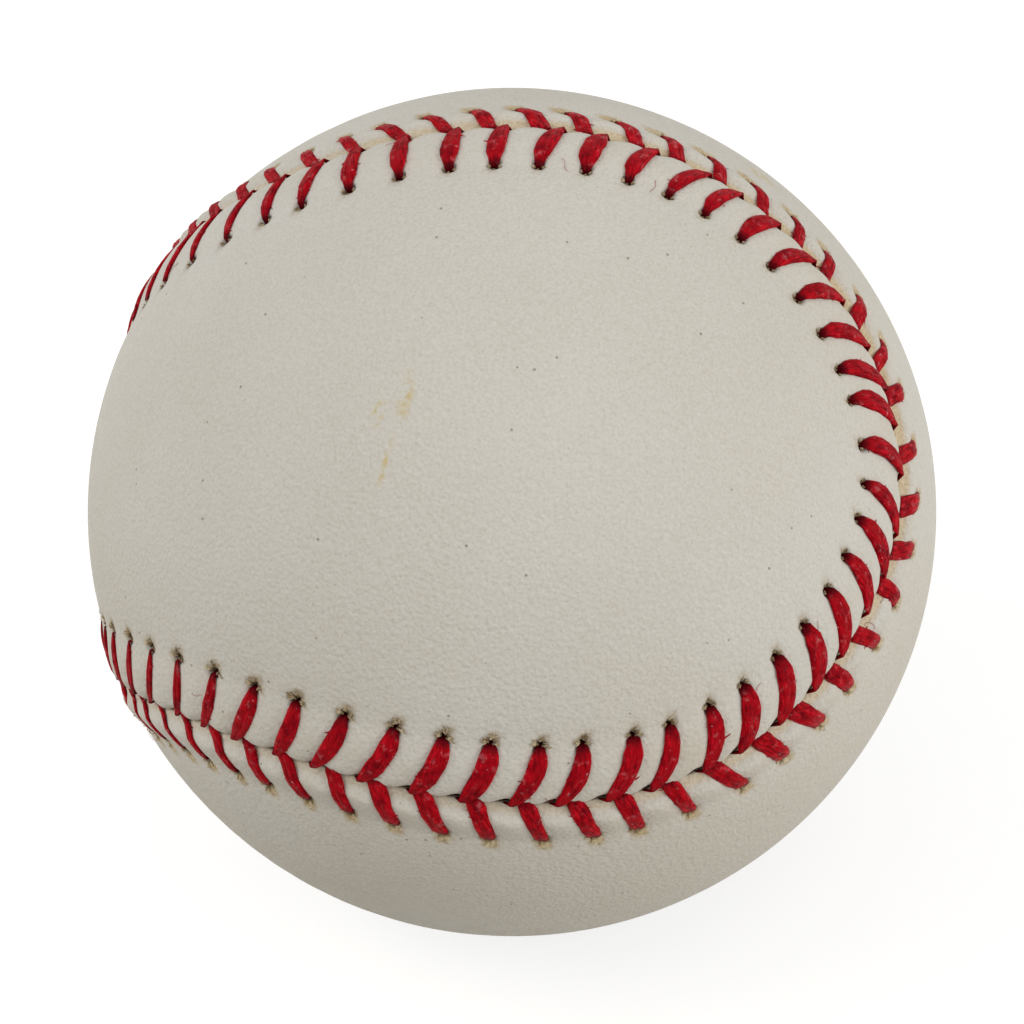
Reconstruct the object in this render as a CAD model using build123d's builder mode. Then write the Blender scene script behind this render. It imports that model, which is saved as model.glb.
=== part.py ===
"""A hand-sewn baseball, from its cork core out to the leather cover and the red thread.

The ball's centre is the origin. The sewn seam runs all round the ball as one closed curve
that swings from side to side, so both leather panels have the same figure-eight outline.
X passes through the narrow waists of the two panels: panel two's at +X, panel one's at -X.
Y and Z pass through the four spots where the seam crosses the plane between the waists.
"""

import os
from math import cos, pi, radians, sin, sqrt

from build123d import *

os.makedirs("parts", exist_ok=True)

# The ball and its layers, from the outside in.
ball_diameter = 74.3
leather_thickness = 1.27
finishing_yarn_wall = 0.95
outer_wool_wall = 1.85
white_wool_wall = 1.75
inner_wool_wall = 14.35
red_rubber_wall = 2.4
black_rubber_wall = 4.0
washer_thickness = 1.6
fit_gap = 0.05

# The seam: how far it climbs from the plane between the waists, and how far it swings.
seam_reach_angle = 64.9
seam_swing_angle = 19.2
seam_start_angle = 45
seam_knots = 96
seam_pieces = 8
seam_gap = 0.7
groove_width = 1.6
cut_over = 2.0

# The puffed rim that the pull of the thread raises on both panels, from the seam to the holes.
rim_near = 0.7
rim_inset = 0.45
rim_height = 0.4
rim_root = 0.25
rim_steps = 6

# The stitches: two strands share the holes, and each strand changes panel at every stitch.
stitch_count = 108
stitch_start_share = 0.16
panel_one_drift_share = 0.0053
panel_two_drift_share = 0.0079
panel_one_hole_offset = 5.3
panel_two_hole_offset = 3.95
hole_lag = 1.15
long_slant = 2.3
short_slant = 1.35

# The waxed thread, pressed flat by the sewing.
thread_sides = 6
thread_width = 1.15
thread_thickness = 0.5
leg_width = 1.55
leg_thickness = 0.75
thread_clearance = 0.15
thread_lift = 0.08
bed_depth = 0.75

# Radii that follow from the walls.
ball_radius = ball_diameter / 2
leather_inside = ball_radius - leather_thickness
yarn_radius = leather_inside - fit_gap
yarn_inside = yarn_radius - finishing_yarn_wall
outer_wool_radius = yarn_inside - fit_gap
outer_wool_inside = outer_wool_radius - outer_wool_wall
white_wool_radius = outer_wool_inside - fit_gap
white_wool_inside = white_wool_radius - white_wool_wall
inner_wool_radius = white_wool_inside - fit_gap
inner_wool_inside = inner_wool_radius - inner_wool_wall
red_rubber_radius = inner_wool_inside - fit_gap
red_rubber_inside = red_rubber_radius - red_rubber_wall
black_rubber_radius = red_rubber_inside - fit_gap
black_rubber_inside = black_rubber_radius - black_rubber_wall
cork_radius = black_rubber_inside - fit_gap

# Heights of the thread's middle above the ball's centre.
over_radius = ball_radius + thread_lift + thread_thickness / 2
crown_radius = ball_radius + rim_height + thread_lift + leg_thickness / 2
under_radius = yarn_radius - fit_gap - thread_thickness / 2


def seam_spot(share):
    """The point of the seam on the ball at a share of one full round."""
    t = 4 * pi * share
    climb = radians(seam_reach_angle) * cos(t)
    turn = t / 2 + radians(seam_swing_angle) * sin(2 * t) + radians(seam_start_angle)
    across = cos(climb) * ball_radius
    return Vector(ball_radius * sin(climb), -across * sin(turn), across * cos(turn))


with BuildLine() as seam_line:
    Spline(*[seam_spot(knot / seam_knots) for knot in range(seam_knots)], periodic=True)
seam = seam_line.edge()
seam_length = seam.length


def spoke(share, sideways):
    """Plane at the centre whose Z points at a spot beside the seam, with X along the seam."""
    along = seam % (share % 1)
    outward = (seam @ (share % 1)).normalized()
    angle = sideways / ball_radius
    aim = outward * cos(angle) + outward.cross(along) * sin(angle)
    return Plane((0, 0, 0), x_dir=along, z_dir=aim)


def hole_offset_of(side):
    """How far a panel's needle holes are from the seam."""
    return panel_two_hole_offset if side > 0 else panel_one_hole_offset


def hole_lag_of(side):
    """Panel two's holes sit a little behind panel one's along the seam."""
    return hole_lag if side > 0 else 0


def stitch_share(stitch, side, forward):
    """Where a panel's stitch sits on the seam: spaced by hand, wider on one half of the ball."""
    even = (stitch + stitch_start_share) / stitch_count
    drift_share = panel_two_drift_share if side > 0 else panel_one_drift_share
    return even + drift_share * sin(2 * pi * even) + (forward - hole_lag_of(side)) / seam_length


def beside_seam(side, offset, radius):
    """The seam line moved sideways by an offset, at a distance from the ball's centre."""
    shares = [knot / seam_knots for knot in range(seam_knots)]
    with BuildLine() as line:
        Spline(*[spoke(share, side * offset).z_dir * radius for share in shares], periodic=True)
    return line.edge()


def strip(first_line, second_line):
    """A ribbon between two lines that both run round the ball, laid in equal lengths."""
    cuts = [(piece / seam_pieces, (piece + 1) / seam_pieces) for piece in range(seam_pieces)]
    return [Face.make_surface_from_curves(first_line.trim(*cut), second_line.trim(*cut)) for cut in cuts]


def seam_wall(side, inner_offset, outer_offset):
    """A wall that stands beside the seam all round the ball and passes through the leather."""
    lean = (outer_offset - inner_offset) * cut_over / leather_thickness
    foot = beside_seam(side, inner_offset - lean, leather_inside - cut_over)
    head = beside_seam(side, outer_offset + lean, ball_radius + cut_over)
    return Shell(strip(foot, head))


def puffed_rim(side):
    """The raised roll of leather beside the seam, rooted below the leather's surface."""
    rim_width = hole_offset_of(side) - rim_inset - rim_near
    lines = []
    for step in range(rim_steps + 1):
        share = step / rim_steps
        height = (rim_height + rim_root) * sin(pi * share) ** 2 - rim_root
        lines.append(beside_seam(side, rim_near + rim_width * share, ball_radius + height))
    ribbons = [strip(line, after) for line, after in zip(lines, lines[1:] + lines[:1])]
    return Solid(Shell([face for ribbon in ribbons for face in ribbon]))


def clear_turn(side):
    """Turn of a panel's spheres that keeps their poles and joint line within the other panel."""
    return (side * seam_start_angle, 0, 90 + side * 90)


def hole_spoke(stitch, side):
    """Towards the needle hole of a stitch in one of the panels."""
    return spoke(stitch_share(stitch, side, 0), side * hole_offset_of(side))


def bend(spot, radius, sideways, upward):
    """Plane across the thread at a distance from the centre, facing the way the thread runs."""
    place = spot.offset(radius)
    way = place.y_dir * sideways + place.z_dir * upward
    return Plane(place.origin, x_dir=place.x_dir, z_dir=way)


def thread_ring(plane, width, thickness):
    """The six-sided outline of the thread on a plane."""
    corners = []
    for corner in range(thread_sides):
        turn = 2 * pi * corner / thread_sides
        corners.append((width / 2 * cos(turn), thickness / 2 * sin(turn) / sin(pi / 3)))
    with BuildLine(plane) as ring:
        Polyline(*corners, close=True)
    return ring.wire()


def strand_rings(first_side):
    """Rings along one strand: up through a hole, over the rim, down the seam, and under."""
    corner_thickness = thread_thickness * sqrt(2)
    rings = []
    for stitch in range(stitch_count):
        side = first_side if stitch % 2 == 0 else -first_side
        slant = short_slant if side > 0 else long_slant
        crown_offset = (rim_near + hole_offset_of(side) - rim_inset) / 2
        hole = hole_spoke(stitch, side)
        crown = spoke(stitch_share(stitch, side, slant / 2), side * crown_offset)
        gap = spoke(stitch_share(stitch, side, slant), 0)
        rings.append(thread_ring(bend(hole, under_radius, side, 1), thread_width, corner_thickness))
        rings.append(thread_ring(bend(hole, over_radius, -side, 1), thread_width, corner_thickness))
        rings.append(thread_ring(bend(crown, crown_radius, -side, 0), leg_width, leg_thickness))
        rings.append(thread_ring(bend(gap, over_radius, -side, -1), thread_width, corner_thickness))
        rings.append(thread_ring(bend(gap, under_radius, -side, -1), thread_width, corner_thickness))
    return rings


def skin(rings):
    """One solid stretched over a row of rings, closed at both ends."""
    strips = [Face.make_surface_from_curves(ring, after) for ring, after in zip(rings, rings[1:])]
    sides = [face for ribbon in strips for face in ribbon.faces()]
    return Solid(Shell(sides + [Face(rings[0]), Face(rings[-1])]))


# The cork core, a plain ball of pressed cork.
with BuildPart() as cork_core:
    Sphere(cork_radius)
cork_core.part.label = "cork_core"
export_step(cork_core.part, "parts/cork_core.step")

# Two black rubber cups close round the cork, with a washer between their rims.
for cup_name, way in (("black_rubber_cup_upper", 1), ("black_rubber_cup_lower", -1)):
    with BuildPart() as rubber_cup:
        Sphere(black_rubber_radius)
        Sphere(black_rubber_inside, mode=Mode.SUBTRACT)
        cup_rim = Plane.XY.offset(way * (washer_thickness / 2 + fit_gap))
        split(bisect_by=cup_rim, keep=Keep.TOP if way > 0 else Keep.BOTTOM)
    rubber_cup.part.label = cup_name
    export_step(rubber_cup.part, "parts/" + cup_name + ".step")

with BuildPart() as joint_washer:
    Sphere(black_rubber_radius)
    Sphere(black_rubber_inside, mode=Mode.SUBTRACT)
    split(bisect_by=Plane.XY.offset(washer_thickness / 2), keep=Keep.BOTTOM)
    split(bisect_by=Plane.XY.offset(-washer_thickness / 2), keep=Keep.TOP)
joint_washer.part.label = "joint_washer"
export_step(joint_washer.part, "parts/joint_washer.step")

# The red rubber skin and the three wool windings, each a hollow ball over the one before.
hollow_layers = (
    ("red_rubber_skin", red_rubber_radius, red_rubber_inside),
    ("inner_grey_wool", inner_wool_radius, inner_wool_inside),
    ("white_wool", white_wool_radius, white_wool_inside),
    ("outer_grey_wool", outer_wool_radius, outer_wool_inside),
)
for layer_name, outside, inside in hollow_layers:
    with BuildPart() as layer:
        Sphere(outside)
        Sphere(inside, mode=Mode.SUBTRACT)
    layer.part.label = layer_name
    export_step(layer.part, "parts/" + layer_name + ".step")

# The finishing yarn, pressed down by the thread in a band under the seam.
bed_reach_one = panel_one_hole_offset + thread_width
bed_reach_two = panel_two_hole_offset + thread_width
with BuildPart() as yarn_bands:
    Sphere(yarn_radius + fit_gap, rotation=clear_turn(1))
    Sphere(yarn_radius - bed_depth, rotation=clear_turn(1), mode=Mode.SUBTRACT)
    split(bisect_by=seam_wall(1, bed_reach_two, bed_reach_two), keep=Keep.BOTH)
    split(bisect_by=seam_wall(-1, bed_reach_one, bed_reach_one), keep=Keep.BOTH)
thread_bed = yarn_bands.solids().sort_by(Axis.X)[1]

with BuildPart() as finishing_yarn:
    Sphere(yarn_radius, rotation=clear_turn(1))
    Sphere(yarn_inside, rotation=clear_turn(1), mode=Mode.SUBTRACT)
    add(thread_bed, mode=Mode.SUBTRACT)
finishing_yarn.part.label = "finishing_yarn"
export_step(finishing_yarn.part, "parts/finishing_yarn.step")

# The two leather panels, parted by the seam's open groove and pierced for the thread.
slot_width = thread_width + 2 * thread_clearance
slot_length = thread_thickness + 2 * thread_clearance
for panel_name, side in (("leather_panel_one", -1), ("leather_panel_two", 1)):
    with BuildPart() as cover_halves:
        Sphere(ball_radius, rotation=clear_turn(side))
        Sphere(leather_inside, rotation=clear_turn(side), mode=Mode.SUBTRACT)
        split(bisect_by=seam_wall(side, seam_gap / 2, groove_width / 2), keep=Keep.BOTH)
    plain_panel = cover_halves.solids().sort_by(Axis.X)[0 if side < 0 else -1]
    raised_rim = puffed_rim(side)
    needle_holes = [hole_spoke(stitch, side).offset(leather_inside) for stitch in range(stitch_count)]
    with BuildPart() as panel:
        add(plain_panel)
        add(raised_rim)
        with Locations(*needle_holes):
            Box(slot_width, slot_length, leather_thickness * 3, mode=Mode.SUBTRACT)
    panel.part.label = panel_name
    export_step(panel.part, "parts/" + panel_name + ".step")

# The thread, sewn as two strands that swap panels at every stitch.
for strand_name, first_side in (("thread_strand_one", -1), ("thread_strand_two", 1)):
    sewn_strand = skin(strand_rings(first_side))
    with BuildPart() as strand:
        add(sewn_strand)
    strand.part.label = strand_name
    export_step(strand.part, "parts/" + strand_name + ".step")
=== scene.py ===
# %% [markdown]
# # A hand-sewn baseball
# This lesson dresses the plain solids of a baseball: two leather panels, sewn together with red thread
# over a ball of wool, rubber and cork. Every piece made here is built in that same place, so nothing has
# to be fitted later.

# %% Load the solids
import math

import bpy
import numpy as np
from mathutils import Matrix, Vector


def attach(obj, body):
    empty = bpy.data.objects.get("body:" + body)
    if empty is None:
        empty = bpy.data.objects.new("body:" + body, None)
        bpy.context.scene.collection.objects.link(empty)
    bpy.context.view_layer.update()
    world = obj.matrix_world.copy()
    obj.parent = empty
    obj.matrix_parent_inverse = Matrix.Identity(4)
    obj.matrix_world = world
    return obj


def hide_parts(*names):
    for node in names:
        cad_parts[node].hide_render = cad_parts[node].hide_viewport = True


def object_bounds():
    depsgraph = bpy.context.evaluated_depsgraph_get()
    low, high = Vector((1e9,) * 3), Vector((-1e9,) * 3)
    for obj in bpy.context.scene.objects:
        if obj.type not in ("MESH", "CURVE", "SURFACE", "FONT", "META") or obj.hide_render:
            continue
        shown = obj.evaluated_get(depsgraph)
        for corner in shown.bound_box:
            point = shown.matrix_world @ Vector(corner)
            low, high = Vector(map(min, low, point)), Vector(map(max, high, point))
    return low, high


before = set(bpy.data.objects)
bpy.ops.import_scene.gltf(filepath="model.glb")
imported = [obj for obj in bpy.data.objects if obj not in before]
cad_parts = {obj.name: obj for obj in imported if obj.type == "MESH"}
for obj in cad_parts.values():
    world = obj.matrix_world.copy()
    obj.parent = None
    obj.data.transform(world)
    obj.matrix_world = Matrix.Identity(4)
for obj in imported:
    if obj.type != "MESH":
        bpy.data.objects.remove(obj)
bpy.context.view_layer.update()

print("solids:", sorted(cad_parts))

# %% [markdown]
# ## The seam as a formula
# On the real ball the seam is where the two figure-eight panels meet. It could be drawn by hand with a
# curve, but a formula is exact and short: the line climbs and falls twice on its way round, and swings
# sideways as it does. Equal steps along its length come from a table of the length walked so far.

# %% The seam and the places beside it
mm = 0.001
ball_radius = 37.15 * mm
leather_thickness = 1.27 * mm
seam_reach = math.radians(64.9)
seam_swing = math.radians(19.2)
seam_start = math.radians(45)


def seam_direction(turns):
    t = 4 * np.pi * np.asarray(turns, float)
    climb = seam_reach * np.cos(t)
    turn = t / 2 + seam_swing * np.sin(2 * t) + seam_start
    return np.stack([np.sin(climb), -np.cos(climb) * np.sin(turn), np.cos(climb) * np.cos(turn)], -1)


table_turns = np.linspace(0, 1, 16001)
table_steps = np.linalg.norm(np.diff(seam_direction(table_turns), axis=0), axis=1)
table_length = np.concatenate([[0], np.cumsum(table_steps)])
seam_length = table_length[-1] * ball_radius


def seam_frame(share):
    """Outward, along and across directions of the seam at a share of its length."""
    turns = np.interp(np.mod(share, 1), table_length / table_length[-1], table_turns)
    outward = seam_direction(turns)
    along = seam_direction(turns + 1e-5) - seam_direction(turns - 1e-5)
    along /= np.linalg.norm(along, axis=-1, keepdims=True)
    return outward, along, np.cross(outward, along)


def beside_seam(share, sideways, height):
    """A point at a distance to one side of the seam and a height over the ball's surface."""
    outward, along, across = seam_frame(share)
    angle = np.asarray(sideways)[..., None] / ball_radius
    aim = outward * np.cos(angle) + across * np.sin(angle)
    return aim * (ball_radius + np.asarray(height)[..., None])


print("seam length in mm:", round(seam_length / mm, 1))

# %% [markdown]
# ## Where the stitches sit
# A sewer works by eye, so the stitches are not quite even: on one half of the ball they are spaced a
# little wider, and each hole is a hair off its place. Values for panel one are under -1 and for panel two
# under 1. Panel two's holes are nearer the seam and lag behind. What changes along the seam is given by
# stretches: the middle of each, as a share of the seam's length, and how far it reaches. On a level stretch
# panel two loses most of its lag, and there panel one has two stitches that come early.

# %% Stitch places
stitch_count = 108
stitch_lead = 0.16
stitch_drift = {-1: 0.0053, 1: 0.0079}
hole_offset = {-1: 5.3 * mm, 1: 3.95 * mm}
hole_lag = {-1: 0.0, 1: 1.15 * mm}
level_stretch = (-0.012, 0.025)
lag_lost = 0.6
early_stretch = (-0.013, 0.009)
early_by = {-1: 1.5 * mm, 1: 0.0}
stitch_pitch = seam_length / stitch_count
hand = np.random.default_rng(11)
hole_jog = {side: hand.normal(0, 0.16 * mm, stitch_count) for side in (-1, 1)}


def near_share(share, centre, reach):
    """One at the middle of a stretch of the seam, fading to nothing on both sides."""
    away = np.mod(np.asarray(share) - centre + 0.5, 1) - 0.5
    return np.exp(-((away / reach) ** 2))


def hand_drift(even, side):
    """How far the sewer's hand moved a stitch from its even place, as a share of the seam."""
    lag = hole_lag[side] * (1 - lag_lost * near_share(even, *level_stretch))
    lag = lag + early_by[side] * near_share(even, *early_stretch)
    return stitch_drift[side] * np.sin(2 * np.pi * even) - lag / seam_length


def stitch_share(stitch, side, forward=0.0):
    """Share of the seam at a panel's stitch, or some way forward of it."""
    even = (np.asarray(stitch, float) + stitch_lead) / stitch_count
    return even + hand_drift(even, side) + forward / seam_length


even_table = np.linspace(-0.5, 1.5, 8001)


def stitch_at(share, side):
    """The stitch number, with its fraction, at a share of the seam on one panel's side."""
    even = np.interp(share, even_table + hand_drift(even_table, side), even_table)
    return even * stitch_count - stitch_lead


print("stitches:", stitch_count, "about", round(stitch_pitch / mm, 2), "mm apart")

# %% [markdown]
# From its hole each leg of thread slants forward to the seam, far on panel one and less on panel two, in a
# line that bends more as it nears the seam. Straight lines would look like a machine's work, so each leg
# also leans a little its own way. On some stretches the legs lie straighter, or end in a point at the hole.

# %% How the legs lie
leg_slant = {-1: 2.9 * mm, 1: 1.05 * mm}
leg_bow = {-1: 1.85, 1: 1.15}
pointed_bow = {-1: 0.0, 1: 0.45}
pointed_stretches = ((-0.09, 0.045), (0.21, 0.035))
straight_stretches = {
    -1: ((0.16, 0.055, 0.8 * mm), (-0.14, 0.04, 1.25 * mm), (*early_stretch, 0.4 * mm)),
    1: ((*level_stretch, 0.95 * mm), (*early_stretch, -0.75 * mm))}
leg_lean = {side: hand.normal(0, 0.26 * mm, stitch_count) for side in (-1, 1)}


def slant_at(stitch, side):
    """A leg's slant: both legs of a stitch share the panels' lag, so that they meet at the seam."""
    lag = (stitch_share(stitch, -1) - stitch_share(stitch, 1)) * seam_length
    slant = leg_slant[side] + side * lag / 2
    for centre, reach, less in straight_stretches[side]:
        slant = slant - less * near_share(stitch_share(stitch, side), centre, reach)
    return slant


def pointed_legs(share):
    """One where panel two's legs bend to their holes and end in a point."""
    return sum(near_share(share, *stretch) for stretch in pointed_stretches)


def leg_forward(stitch, offset, side):
    """How far a leg has gone forward of its place at a distance from the seam."""
    way = np.clip(1 - np.asarray(offset) / hole_offset[side], 0, 1)
    number = np.asarray(stitch, int) % stitch_count
    bow = leg_bow[side] - pointed_bow[side] * pointed_legs(stitch_share(stitch, side))
    bend = slant_at(stitch, side) * way ** bow
    return bend + hole_jog[side][number] * (1 - way) + leg_lean[side][number] * way


print("slant of a leg in mm:", leg_slant[-1] / mm, "on panel one,", leg_slant[1] / mm, "on panel two")

# %% [markdown]
# ## The shape of the leather
# The thread pulls the leather up into a soft roll on both sides of the seam. It presses a dent under each
# leg, so the roll puffs up between the legs, and it drags the skin down at each hole. One function of
# place gives all of this as a height, and the panels and the thread both read it, so they always meet.

# %% Height of the leather
roll_height = {-1: 0.46 * mm, 1: 0.55 * mm}
roll_start = {-1: (-0.5 * mm, 1.3 * mm), 1: (0.55 * mm, 1.75 * mm)}
roll_top = 0.42
dent_reach = 0.95 * mm
pull_depth = 0.12 * mm
pull_reach = (1.1 * mm, 1.2 * mm)
pit_depth = 0.8 * mm
pit_reach = (0.4 * mm, 0.38 * mm)


def ease(low, high, value):
    """A smooth step from 0 at low to 1 at high."""
    way = np.clip((value - low) / (high - low), 0, 1)
    return way * way * (3 - 2 * way)


def roll_profile(offset, side):
    """The roll's height across the seam with no thread on it, as a share of its full height."""
    far = 1 - ease(roll_top * hole_offset[side], hole_offset[side] + 0.6 * mm, offset)
    return far * ease(*roll_start[side], offset)


def leg_dent(share, offset, side):
    """One where a leg presses on the leather, falling to nothing between the legs."""
    stitch = stitch_at(share, side)
    gap = np.full(np.shape(share), 1.0)
    for step in (-1, 0, 1):
        number = np.floor(stitch) + step
        ahead = (stitch - number) * stitch_pitch
        gap = np.minimum(gap, np.abs(ahead - leg_forward(number, offset, side)))
    reach = 1 - ease(hole_offset[side], hole_offset[side] + 0.5 * mm, offset)
    return np.exp(-((gap / dent_reach) ** 2)) * reach


def hole_distance(share, offset, side):
    """Distance along and across to the nearest needle hole."""
    stitch = stitch_at(share, side)
    number = np.round(stitch)
    along = (stitch - number) * stitch_pitch - hole_jog[side][number.astype(int) % stitch_count]
    return along, offset - hole_offset[side]


def leather_height(share, offset, side):
    """Height of the skin over the ball's surface, with the roll, the dents and the holes."""
    roll = roll_height[side] * roll_profile(offset, side)
    dent = leg_dent(share, offset, side)
    along, past = hole_distance(share, offset, side)
    pull = np.exp(-((along / pull_reach[0]) ** 2) - ((past - 0.3 * mm) / pull_reach[1]) ** 2)
    pit = np.exp(-((along / pit_reach[0]) ** 4) - ((past - 0.1 * mm) / pit_reach[1]) ** 4)
    return roll * (1.15 - 0.6 * dent) - pull_depth * pull - pit_depth * pit


print("roll height in mm:", roll_height[-1] / mm, roll_height[1] / mm)

# %% [markdown]
# ## Two leather panels
# Each panel is a figure eight cut from white cowhide. A sphere with its seam cut out would leave ragged
# edges, so the mesh is laid along the seam instead: row after row of points from the raw edge inwards,
# finest where the stitches are. The rows then close up on the panel's middle line, from lobe to lobe.
# A second skin inside, joined along the raw edge, makes it a closed piece of real thickness.

# %% Rows of a panel
stations = 1296
sewn_offsets = np.concatenate([
    np.linspace(0.0, 0.9, 6), np.linspace(1.12, 6.8, 25), np.linspace(7.3, 9.2, 4)]) * mm
inner_offsets = np.array([0.35, 2.5, 6.0]) * mm
middle_rows = 9
spine_reach = math.radians(112)
edge_pull = 0.55 * mm
edge_bulge = 0.28 * mm
plain_edge = 0.05 * mm
lip_drop = 0.3 * mm
foot_inset = 0.15 * mm
foot_depth = 0.8 * mm
station_share = np.arange(stations) / stations


def edge_wave(side):
    """How far panel one's cut edge is pulled back at the stitches and bulges between them."""
    if side > 0:
        return np.full(stations, plain_edge)
    stitch = stitch_at(station_share, side)
    pull = 0.5 + 0.5 * np.cos(2 * np.pi * (stitch - slant_at(stitch, side) / stitch_pitch))
    return edge_pull * pull ** 1.5 - edge_bulge


def panel_spine(side):
    """The point on a panel's middle line that each place on its seam closes on."""
    turn = 2 * np.pi * station_share
    angle = spine_reach * (np.cos(turn) if side < 0 else np.sin(turn))
    waist = np.array([side, 0, 0])
    lobe = np.array([0, -1, -side]) / math.sqrt(2)
    return np.cos(angle)[:, None] * waist + np.sin(angle)[:, None] * lobe


def closing_rows(last_row, spine, radius):
    """Rows between the last sewn row and the middle line, on a sphere."""
    rows = []
    start = last_row / np.linalg.norm(last_row, axis=1, keepdims=True)
    for row in range(1, middle_rows):
        way = row / middle_rows
        aim = start * (1 - way) + spine * way
        rows.append(aim / np.linalg.norm(aim, axis=1, keepdims=True) * radius)
    return rows


def panel_rows(side):
    """All rows of one panel, from the inner skin's middle over the raw edge to the outer skin's middle."""
    wave = edge_wave(side)
    spine = panel_spine(side)
    outer = []
    for offset in sewn_offsets:
        flat = np.full(stations, offset)
        height = leather_height(station_share, flat, side) - lip_drop * (1 - ease(0, 0.5 * mm, offset))
        shifted = flat + wave * (1 - ease(0, 1.6 * mm, flat))
        outer.append(beside_seam(station_share, side * shifted, height))
    foot = beside_seam(station_share, side * (foot_inset + wave), np.full(stations, -foot_depth))
    outer.insert(0, foot)
    outer += closing_rows(outer[-1], spine, ball_radius)
    depth = np.full(stations, -leather_thickness)
    inner = [beside_seam(station_share, np.full(stations, side * offset), depth) for offset in inner_offsets]
    inner += closing_rows(inner[-1], spine, ball_radius - leather_thickness)
    return inner[::-1], outer, spine


print("rows beside the seam:", len(sewn_offsets), "stations along it:", stations)

# %% [markdown]
# The panel also carries painted values for its material: how near a point is to the raw edge, to the painted
# shade along the seam, to the torn rim and the painted shade in a needle hole, and to the red thread whose
# dye rubs off.

# %% Painted values
torn_stretch = (0.15, 0.09)
tan_stretch = (-0.05, 0.11)
narrow_stretch = (-0.07, 0.03)
hole_reach = 0.4 * mm


def torn_amount(share):
    """How badly the needle tore panel one: most on one stretch of the seam."""
    return 0.42 + 0.58 * near_share(share, *torn_stretch)


def raw_strip(offset, side):
    """One on the raw edge: a hair's width on panel one, and a strip on panel two, widest on one stretch."""
    if side < 0:
        return 1 - ease(0.06 * mm, 0.22 * mm, offset)
    tan = near_share(station_share, *tan_stretch)
    wide = 0.5 * mm * tan * (1 - 0.9 * near_share(station_share, *narrow_stretch))
    return (0.4 + 0.6 * tan) * (1 - ease(0.6 * mm, 1.0 * mm, offset - wide))


def torn_rim(along, past, side):
    """One where the leather is torn behind a needle hole, drawn out behind panel two's pointed legs."""
    drawn = pointed_legs(station_share) if side > 0 else 0.0
    trail = (along + 0.25 * np.maximum(past, 0) + 0.35 * mm * drawn) / ((0.56 + 0.25 * drawn) * mm)
    rim = np.exp(-(trail ** 4) - ((past - 0.5 * mm) / (0.78 * mm)) ** 4)
    return rim * torn_amount(station_share) if side < 0 else rim


def painted_values(side, inner_count, row_count):
    """A table of each value: a row for every row of points, a column for every station."""
    names = ("raw_edge", "seam_dark", "torn_rim", "pale_rim", "hole_dark", "red_dye", "roll")
    values = {name: np.zeros((row_count + 2, stations)) for name in names}
    values["raw_edge"][:inner_count] = 1
    values["raw_edge"][-2] = 1
    for row, distance in enumerate(np.concatenate([[0], sewn_offsets])):
        at = inner_count + row
        offset = np.full(stations, distance)
        along, past = hole_distance(station_share, offset, side)
        dent = leg_dent(station_share, offset, side)
        rim = torn_rim(along, past, side)
        values["raw_edge"][at] = raw_strip(offset, side)
        # painted shade: a dark line along the raw edge, where the panels meet in the seam
        values["seam_dark"][at] = 1 - ease(0.02 * mm, 0.2 * mm, offset)
        values["torn_rim"][at] = rim
        values["pale_rim"][at] = rim if side > 0 else 0.0
        # painted shade: near black in each needle hole
        off_hole = (along / hole_reach) ** 4 + ((past - 0.1 * mm) / hole_reach) ** 4
        values["hole_dark"][at] = np.exp(-off_hole)
        values["red_dye"][at] = dent
        values["roll"][at] = roll_profile(offset, side) * (1 - dent)
    return values


print("values for the leather: raw edge, seam, torn rims, holes, dye, roll")

# %% [markdown]
# Neighbouring rows are joined by strips of four-cornered faces. The points on the middle line serve the
# seam's two sides at once, so each is kept only once, and the last strips close both skins without a gap.

# %% Panel meshes
def build_panel(name, side):
    """One panel as a closed mesh, with its painted values on the points."""
    inner, outer, spine = panel_rows(side)
    rows = inner + outer
    points = np.concatenate(rows + [spine * (ball_radius - leather_thickness), spine * ball_radius])
    grid = np.arange(len(points)).reshape(-1, stations)
    number = np.arange(stations)
    after = np.roll(number, -1)
    twin = (stations - number) % stations if side < 0 else (stations // 2 - number) % stations
    shared = np.minimum(number, twin)
    strips = [(grid[row], grid[row + 1]) for row in range(len(rows) - 1)]
    strips += [(grid[-2][shared], grid[0]), (grid[len(rows) - 1], grid[-1][shared])]
    faces = np.concatenate([np.stack([low, low[after], high[after], high], 1) for low, high in strips])
    a, b, c = (points[faces[:, corner]] for corner in range(3))
    if np.einsum("ij,ij->", a, np.cross(b, c)) < 0:
        faces = faces[:, ::-1]
    used = np.unique(faces)
    order = np.zeros(len(points), int)
    order[used] = np.arange(len(used))
    mesh = bpy.data.meshes.new(name)
    corners = [list(dict.fromkeys(face)) for face in order[faces].tolist()]
    mesh.from_pydata(points[used].tolist(), [], corners)
    for value, table in painted_values(side, len(inner), len(rows)).items():
        layer = mesh.attributes.new(value, "FLOAT", "POINT")
        layer.data.foreach_set("value", table.reshape(-1)[used].astype(np.float32))
    mesh.shade_smooth()
    panel = bpy.data.objects.new(name, mesh)
    bpy.context.scene.collection.objects.link(panel)
    print(name, len(mesh.vertices), "points", len(mesh.polygons), "faces")
    return panel


panel_one = build_panel("cover_panel_one", -1)
panel_two = build_panel("cover_panel_two", 1)

# %% [markdown]
# ## The route of the thread
# One thread with a needle at each end sews the whole ball, so two strands run side by side. Each comes up
# through a hole, lies over the roll of leather, dives between the panels' edges and passes under the other
# panel to its next hole. A round cord of one width would look stiff. The real thread is flat and loose, so
# a leg's width changes along it, and legs are slimmer where the thread was pulled tight.

# %% Widths of the legs
width_ways = {-1: (0, 0.1, 0.22, 0.4, 0.6, 0.8, 0.92, 1), 1: (0, 0.12, 0.35, 0.65, 0.88, 1)}
full_stretch = (0.11, 0.07)
plump_stretch = (0.01, 0.14)
pull_changes = (
    (-0.066, 0.025, -0.22), (-0.12, 0.03, 0.09), (0.145, 0.03, 0.1), (0.195, 0.035, -0.4),
    (-0.18, 0.04, -0.12), (-0.012, 0.018, -0.1))


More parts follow.
